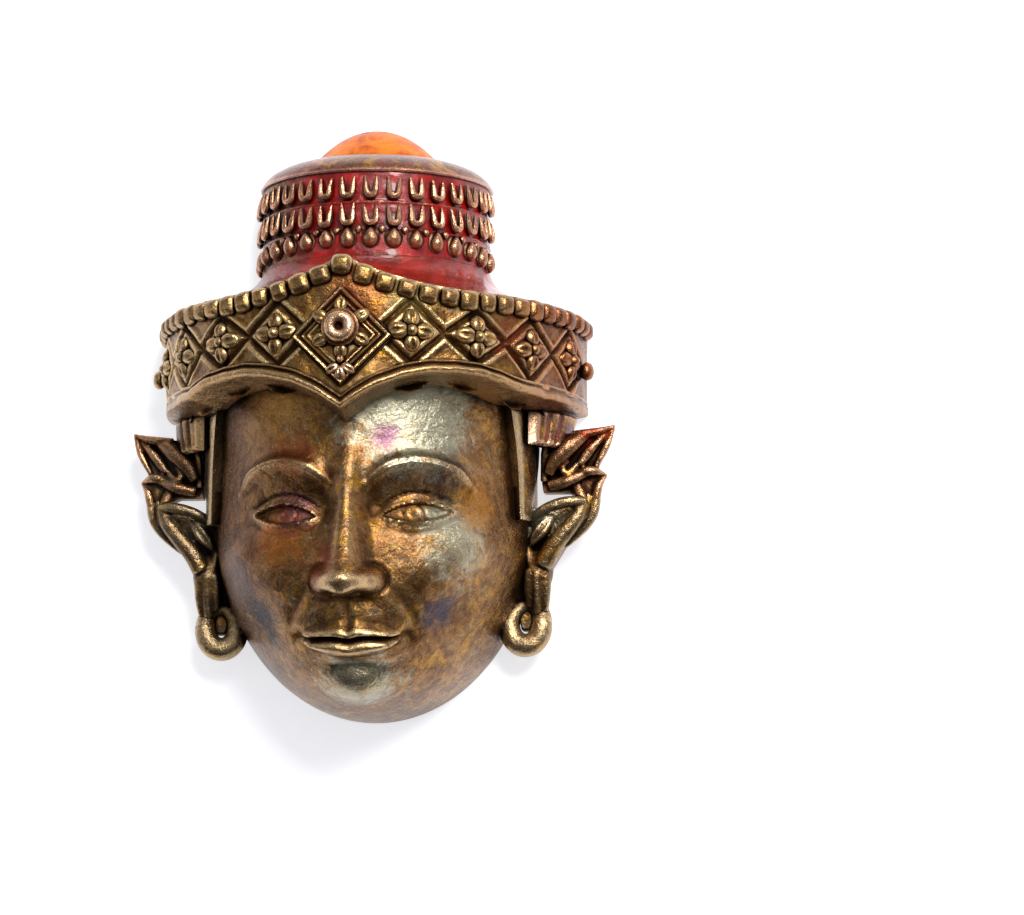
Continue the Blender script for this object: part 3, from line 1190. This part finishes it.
# an old casting: dark in its corners, rubbed bright on what stands out, blotched and pitted
agedMetal, given, result = newGroup("agedMetal", [
    ("Body", "Color", ink(150, 116, 78)), ("Bright", "Color", ink(232, 205, 165)), ("Dark", "Color", ink(38, 19, 8)),
    ("Dirt", "Float", 1.0), ("Rub", "Float", 1.0), ("Green", "Float", 0.4)],
    [("Colour", "Color"), ("Roughness", "Float"), ("Height", "Float")])
spot = inMillimetres(agedMetal)
recess = put(agedMetal, "Attribute", {"attribute_name": "recess"}).outputs["Fac"]
edge = put(agedMetal, "Attribute", {"attribute_name": "edge"}).outputs["Fac"]
blotch = noise(agedMetal, spot, 0.55, 5.0, 0.62, 0.6)
cloud = noise(agedMetal, spot, 2.1, 4.0, 0.6, 0.3)
speck = noise(agedMetal, spot, 9.0, 5.0, 0.68)
pits = noise(agedMetal, spot, 17.0, 3.0, 0.6)
uneven = sums(agedMetal, "MULTIPLY_ADD", cloud, 0.3, -0.15)
deep = ramp(agedMetal, sums(agedMetal, "ADD", recess, uneven), 0.14, 0.5)
deep = sums(agedMetal, "MULTIPLY", deep, given["Dirt"], clamp=True)
valley = sums(agedMetal, "ADD", edge, sums(agedMetal, "MULTIPLY_ADD", cloud, 0.16, -0.08))
valley = ramp(agedMetal, valley, 0.46, 0.24)
deep = sums(agedMetal, "MAXIMUM", deep, sums(agedMetal, "MULTIPLY", valley, sums(
    agedMetal, "MULTIPLY", given["Dirt"], 0.8)), clamp=True)
high = ramp(agedMetal, sums(agedMetal, "ADD", edge, sums(agedMetal, "MULTIPLY_ADD", speck, 0.6, -0.3)), 0.58, 1.0)
high = sums(agedMetal, "MULTIPLY", high, given["Rub"], clamp=True)
tone = ramp(agedMetal, blotch, 0.38, 0.62)
colour = blend(agedMetal, sums(agedMetal, "MULTIPLY", tone, 0.7), given["Body"], ink(92, 58, 30))
golden = ramp(agedMetal, noise(agedMetal, spot, 0.9, 5.0, 0.66, 1.0), 0.5, 0.66)
colour = blend(agedMetal, sums(agedMetal, "MULTIPLY", golden, 0.65), colour, ink(184, 134, 44))
pale = ramp(agedMetal, noise(agedMetal, spot, 1.7, 6.0, 0.7, 1.2), 0.52, 0.7)
colour = blend(agedMetal, sums(agedMetal, "MULTIPLY", pale, given["Green"]), colour, ink(150, 150, 122))
shaded = sums(agedMetal, "MULTIPLY", ramp(agedMetal, cloud, 0.52, 0.4), 0.45)
colour = blend(agedMetal, shaded, colour, ink(70, 40, 20))
colour = blend(agedMetal, high, colour, given["Bright"])
colour = blend(agedMetal, deep, colour, given["Dark"])
specks = sums(agedMetal, "MULTIPLY", ramp(agedMetal, speck, 0.54, 0.7), 0.65)
colour = blend(agedMetal, specks, colour, given["Dark"])
agedMetal.links.new(colour, result["Colour"])
shine = sums(agedMetal, "MULTIPLY_ADD", speck, 0.3, 0.13)
shine = sums(agedMetal, "MULTIPLY_ADD", deep, 0.32, shine)
shine = sums(agedMetal, "MULTIPLY_ADD", high, -0.06, shine, clamp=True)
agedMetal.links.new(shine, result["Roughness"])
relief = sums(agedMetal, "MULTIPLY_ADD", pits, 0.35, sums(agedMetal, "MULTIPLY", speck, 0.7))
relief = sums(agedMetal, "MULTIPLY_ADD", cloud, 2.6, relief)
agedMetal.links.new(relief, result["Height"])

# a ragged round stain at one place
stainPatch, given, result = newGroup("stainPatch", [
    ("Centre", "Vector", (0, 0, 0)), ("Radius", "Float", 1.0), ("Amount", "Float", 1.0)], [("Mask", "Float")])
spot = inMillimetres(stainPatch)
gap = put(stainPatch, "VectorMath", {"operation": "DISTANCE"}, s0=spot, s1=given["Centre"]).outputs["Value"]
gap = sums(stainPatch, "DIVIDE", gap, given["Radius"])
ragged = sums(stainPatch, "MULTIPLY_ADD", noise(stainPatch, spot, 1.4, 5.0, 0.7, 0.8), 1.9, -0.95)
mask = ramp(stainPatch, sums(stainPatch, "ADD", gap, ragged), 1.1, 0.35)
stainPatch.links.new(sums(stainPatch, "MULTIPLY", mask, given["Amount"], clamp=True), result["Mask"])

# a tint that grows from one side of the mask to the other
sideTint, given, result = newGroup("sideTint", [
    ("Start", "Float", 0.0), ("Full", "Float", 5.0), ("Ragged", "Float", 1.0)], [("Mask", "Float")])
spot = inMillimetres(sideTint)
along = put(sideTint, "SeparateXYZ", None, Vector=spot).outputs["X"]
ragged = sums(sideTint, "MULTIPLY_ADD", noise(sideTint, spot, 1.1, 5.0, 0.66, 0.5), 5.0, -2.5)
along = sums(sideTint, "MULTIPLY_ADD", ragged, given["Ragged"], along)
sideTint.links.new(ramp(sideTint, along, given["Start"], given["Full"]), result["Mask"])

# lacquer that stays in the hollows and is rubbed off what stands out
lacquerCover, given, result = newGroup(
    "lacquerCover", [("Hold", "Float", 0.5)], [("Mask", "Float"), ("Depth", "Float")])
spot = inMillimetres(lacquerCover)
recess = put(lacquerCover, "Attribute", {"attribute_name": "recess"}).outputs["Fac"]
edge = put(lacquerCover, "Attribute", {"attribute_name": "edge"}).outputs["Fac"]
rubbed = sums(lacquerCover, "MULTIPLY_ADD", noise(lacquerCover, spot, 3.2, 4.0, 0.65), 0.8, -0.4)
kept = sums(lacquerCover, "MULTIPLY_ADD", recess, 0.9, sums(lacquerCover, "MULTIPLY_ADD", edge, -1.5, 0.75))
kept = sums(lacquerCover, "ADD", sums(lacquerCover, "ADD", kept, rubbed), given["Hold"])
lacquerCover.links.new(ramp(lacquerCover, kept, 0.28, 0.62), result["Mask"])
lacquerCover.links.new(ramp(lacquerCover, recess, 0.15, 0.6), result["Depth"])


# materials

def newMaterial(name):
    material = bpy.data.materials.new(name)
    material.use_nodes = True
    tree = material.node_tree
    tree.nodes.clear()
    shader = tree.nodes.new("ShaderNodeBsdfPrincipled")
    output = tree.nodes.new("ShaderNodeOutputMaterial")
    tree.links.new(shader.outputs[0], output.inputs[0])
    return material, tree, shader


def feed(tree, shader, height=None, depth=0.00003, **sockets):
    for key, value in sockets.items():
        socket = shader.inputs[key.replace("_", " ")]
        if isinstance(value, bpy.types.NodeSocket):
            tree.links.new(value, socket)
        else:
            socket.default_value = value
    if height is not None:
        bump = put(tree, "Bump", None, Height=height, Distance=depth, Strength=1.0)
        tree.links.new(bump.outputs[0], shader.inputs["Normal"])


def stained(tree, colour, stains):  # lays ragged stains over a colour
    for centre, radius, amount, tint in stains:
        mask = placeGroup(tree, stainPatch, Centre=centre, Radius=radius, Amount=amount)["Mask"]
        colour = blend(tree, mask, colour, tint)
    return colour


def bronzeFinish(name, body, bright, dark, dirt=1.0, rub=1.0, stains=(), tint=None, depth=0.00003, green=0.35):
    material, tree, shader = newMaterial(name)
    metal = placeGroup(tree, agedMetal, Body=ink(*body), Bright=ink(*bright), Dark=ink(*dark), Dirt=dirt, Rub=rub,
                       Green=green)
    colour = stained(tree, metal["Colour"], stains)
    if tint:
        start, full, amount, tintColour = tint
        side = placeGroup(tree, sideTint, Start=start, Full=full, Ragged=0.6)["Mask"]
        colour = blend(tree, sums(tree, "MULTIPLY", side, amount), colour, ink(*tintColour), "MULTIPLY")
    feed(tree, shader, metal["Height"], depth, Base_Color=colour, Roughness=metal["Roughness"], Metallic=0.92)
    return material


def lacquerFinish(name, deepColour, lightColour, metalBody, metalBright, hold, sideStart=-9.0, sideFull=-6.0,
                  gloss=0.12):
    material, tree, shader = newMaterial(name)
    metal = placeGroup(tree, agedMetal, Body=ink(*metalBody), Bright=ink(*metalBright), Dark=ink(34, 12, 6),
                       Dirt=1.0, Rub=1.0)
    cover = placeGroup(tree, lacquerCover, Hold=hold)
    side = placeGroup(tree, sideTint, Start=sideStart, Full=sideFull, Ragged=0.7)["Mask"]
    mask = sums(tree, "MULTIPLY", cover["Mask"], side)
    place = inMillimetres(tree)
    tone = ramp(tree, noise(tree, place, 0.9, 4.0, 0.6, 0.4), 0.32, 0.68)
    paint = blend(tree, tone, ink(*lightColour), ink(*deepColour))
    paint = blend(tree, sums(tree, "MULTIPLY", cover["Depth"], 0.75), paint, ink(*[c * 0.35 for c in deepColour]))
    colour = blend(tree, mask, metal["Colour"], paint)
    rough = sums(tree, "MULTIPLY_ADD", noise(tree, place, 4.0), 0.22, gloss)
    rough = put(tree, "Mix", None, s0=mask, s2=metal["Roughness"], s3=rough).outputs[0]
    bare = sums(tree, "SUBTRACT", 1.0, mask)
    thick = sums(tree, "MULTIPLY_ADD", mask, 1.6, metal["Height"])
    feed(tree, shader, thick, 0.000025, Base_Color=colour, Roughness=rough,
         Metallic=sums(tree, "MULTIPLY_ADD", bare, 0.85, 0.07), Coat_Weight=sums(tree, "MULTIPLY", mask, 0.35))
    shader.inputs["Specular IOR Level"].default_value = 0.35
    shader.inputs["Coat Roughness"].default_value = 0.07
    return material


paleGreen, slate, plum, copperRed = ink(186, 184, 160), ink(62, 66, 78), ink(112, 52, 96), ink(142, 62, 36)
faceStains = [  # place, radius, amount and colour
    ((3.0, -0.6, 8.6), 3.6, 0.8, paleGreen), ((0.2, -12.6, 6.4), 2.2, 0.65, paleGreen),
    ((4.4, -6.6, 7.2), 2.2, 0.6, paleGreen), ((5.6, -4.8, 6.6), 1.5, 0.6, ink(170, 112, 40)),
    ((-3.6, 0.4, 8.4), 2.6, 0.7, ink(158, 116, 58)), ((-2.6, -2.6, 8.9), 1.4, 0.5, copperRed),
    ((-3.2, -6.4, 8.4), 1.7, 0.6, ink(176, 100, 36)), ((-1.0, -8.0, 10.0), 1.6, 0.6, copperRed),
    ((-4.8, -8.4, 6.2), 2.1, 0.8, ink(70, 34, 20)), ((1.8, -1.9, 9.3), 0.9, 0.75, plum),
    ((-2.6, -5.2, 8.9), 1.2, 0.4, plum), ((3.6, -9.6, 6.8), 1.4, 0.85, ink(46, 48, 66)),
    ((-4.4, -10.0, 6.2), 1.6, 0.9, ink(28, 26, 36)), ((4.6, -3.4, 7.8), 1.3, 0.4, slate),
    ((-0.4, -9.8, 9.4), 1.2, 0.35, ink(150, 108, 64)),
]
diademStains = [
    ((0.6, 4.2, 11.4), 1.8, 0.35, copperRed), ((-6.0, 2.4, 8.4), 2.0, 0.45, ink(84, 54, 30)),
    ((3.2, 4.4, 10.8), 1.6, 0.35, ink(170, 150, 90)), ((7.2, 2.8, 7.4), 1.4, 0.5, copperRed),
]
faceBronze = bronzeFinish("faceBronze", (146, 106, 64), (212, 180, 134), (36, 18, 8), 0.75, 0.7, faceStains,
                          (-2.0, -7.0, 0.7, (150, 108, 80)), green=0.5)
diademBronze = bronzeFinish("diademBronze", (150, 112, 62), (222, 190, 138), (30, 14, 5), 0.95, 0.8, diademStains,
                            (5.5, 9.5, 0.7, (190, 112, 92)), green=0.5)
trimBronze = bronzeFinish("trimBronze", (138, 102, 60), (206, 174, 124), (28, 13, 5), 1.2, 0.7, (),
                          (6.0, 9.5, 0.75, (196, 116, 96)), 0.00002)
mouldingBronze = bronzeFinish("mouldingBronze", (110, 78, 44), (196, 160, 112), (24, 11, 4), 0.7, 0.7, (),
                              (6.5, 10.0, 0.5, (196, 124, 98)))
bossBronze = bronzeFinish("bossBronze", (150, 98, 64), (240, 196, 158), (36, 13, 5), 1.2, 0.9, (), None, 0.00002)
earBronze = bronzeFinish("earBronze", (126, 102, 70), (210, 184, 142), (26, 13, 6), 1.1, 0.7,
                         [((8.2, -4.6, 2.0), 1.2, 0.4, paleGreen), ((-8.6, -5.0, 2.0), 1.8, 0.5, ink(104, 98, 84))])
flameBronze = bronzeFinish("flameBronze", (128, 88, 58), (212, 164, 124), (28, 11, 5), 1.1, 0.8,
                           [((10.6, -0.2, 2.0), 1.5, 0.8, ink(132, 40, 24)),
                            ((-11.2, 0.2, 2.0), 1.0, 0.8, ink(120, 34, 22)),
                            ((-9.8, -2.4, 2.0), 1.4, 0.4, ink(96, 88, 74))])
drumRed = lacquerFinish("drumRed", (104, 4, 3), (172, 16, 8), (112, 88, 76), (190, 160, 140), 0.62, -4.6, -2.2)
leafRed = lacquerFinish("leafRed", (110, 6, 4), (168, 18, 10), (124, 76, 58), (188, 138, 108), 0.3, -3.8, -1.2)
brimRed = lacquerFinish("brimRed", (100, 10, 6), (150, 30, 18), (118, 82, 66), (196, 156, 132), 0.62, -7.5, -2.5,
                        0.08)
panelRed = lacquerFinish("panelRed", (88, 26, 16), (124, 48, 30), (126, 84, 58), (206, 160, 128), 0.3)


def collarFinish(name):
    material, tree, shader = newMaterial(name)
    metal = placeGroup(tree, agedMetal, Body=ink(124, 66, 54), Bright=ink(198, 146, 126), Dark=ink(52, 14, 10),
                       Dirt=0.9, Rub=0.9)
    place = inMillimetres(tree)
    chipped = stained(tree, metal["Colour"], [((-0.35, 13.0, 6.2), 0.62, 0.95, ink(176, 168, 164))])
    streak = ramp(tree, noise(tree, place, 1.3, 4.0, 0.65, 0.5), 0.5, 0.72)
    colour = blend(tree, sums(tree, "MULTIPLY", streak, 0.6), chipped, ink(116, 28, 18))
    feed(tree, shader, metal["Height"], 0.000025, Base_Color=colour, Roughness=metal["Roughness"],
         Metallic=sums(tree, "MULTIPLY_ADD", streak, -0.4, 0.75))
    shader.inputs["Coat Weight"].default_value = 0.35
    shader.inputs["Coat Roughness"].default_value = 0.12
    return material


def domeFinish(name):
    material, tree, shader = newMaterial(name)
    place = inMillimetres(tree)
    recess = put(tree, "Attribute", {"attribute_name": "recess"}).outputs["Fac"]
    tone = ramp(tree, noise(tree, place, 0.8, 4.0, 0.6, 0.5), 0.35, 0.68)
    colour = blend(tree, tone, ink(236, 128, 26), ink(176, 66, 8))
    colour = blend(tree, ramp(tree, recess, 0.1, 0.5), colour, ink(92, 26, 8))
    crown = placeGroup(tree, stainPatch, Centre=(0.0, 14.4, 0.2), Radius=2.1, Amount=0.85)["Mask"]
    colour = blend(tree, crown, colour, ink(96, 52, 26))
    scuff = ramp(tree, noise(tree, place, 7.0, 5.0, 0.7), 0.58, 0.75)
    colour = blend(tree, sums(tree, "MULTIPLY", scuff, 0.3), colour, ink(244, 190, 96))
    height = sums(tree, "MULTIPLY_ADD", noise(tree, place, 2.2, 3.0), 1.6, noise(tree, place, 12.0))
    feed(tree, shader, height, 0.00002, Base_Color=colour,
         Roughness=sums(tree, "MULTIPLY_ADD", scuff, 0.2, 0.34), Metallic=0.3)
    shader.inputs["Specular IOR Level"].default_value = 0.12
    return material


collarCopper, domeOrange = collarFinish("collarCopper"), domeFinish("domeOrange")

finishes = {}
for finish, nodes in (
        (faceBronze, "face_shell"), (mouldingBronze, "brow_moulding temple_panel_right"),
        (diademBronze, "tiara_band crest_plate"),
        (trimBronze, "tiara_beads rosette_petals rosette_studs crest_flower side_studs"),
        (bossBronze, "crest_boss crest_pendant"), (brimRed, "crown_brim"), (drumRed, "crown_drum"),
        (collarCopper, "crown_collar"), (domeOrange, "crown_dome"),
        (leafRed, "upper_leaf_row lower_leaf_row drop_row"), (panelRed, "temple_panel_left"),
        (earBronze, "temple_strip_left temple_strip_right ear_left ear_right earring_left earring_right"),
        (flameBronze, "ear_flame_left ear_flame_right")):
    finishes.update(dict.fromkeys(nodes.split(), finish))

floorMaterial, tree, shader = newMaterial("paleFloor")
place = inMillimetres(tree)
paper = blend(tree, noise(tree, place, 0.05, 2.0), (*studio["floor"], 1), (*[c * 0.985 for c in studio["floor"]], 1))
feed(tree, shader, noise(tree, place, 2.0), 0.00001, Base_Color=paper, Roughness=0.85,
     Emission_Color=(0.97, 0.97, 1.0, 1), Emission_Strength=studio["floorGlow"])
floor.data.materials.append(floorMaterial)

# settling: every piece to metres, with its finish, body, node and slot
for piece, node, slot in pieceTable:
    moveTo(piece, spots(piece) * mm)
    onlySelect(piece)
    bpy.ops.object.shade_smooth_by_angle(angle=math.radians(38))
    piece.data.materials.clear()
    piece.data.materials.append(finishes[node])
    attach(piece, "root")
    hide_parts(node)
print("every piece is settled")
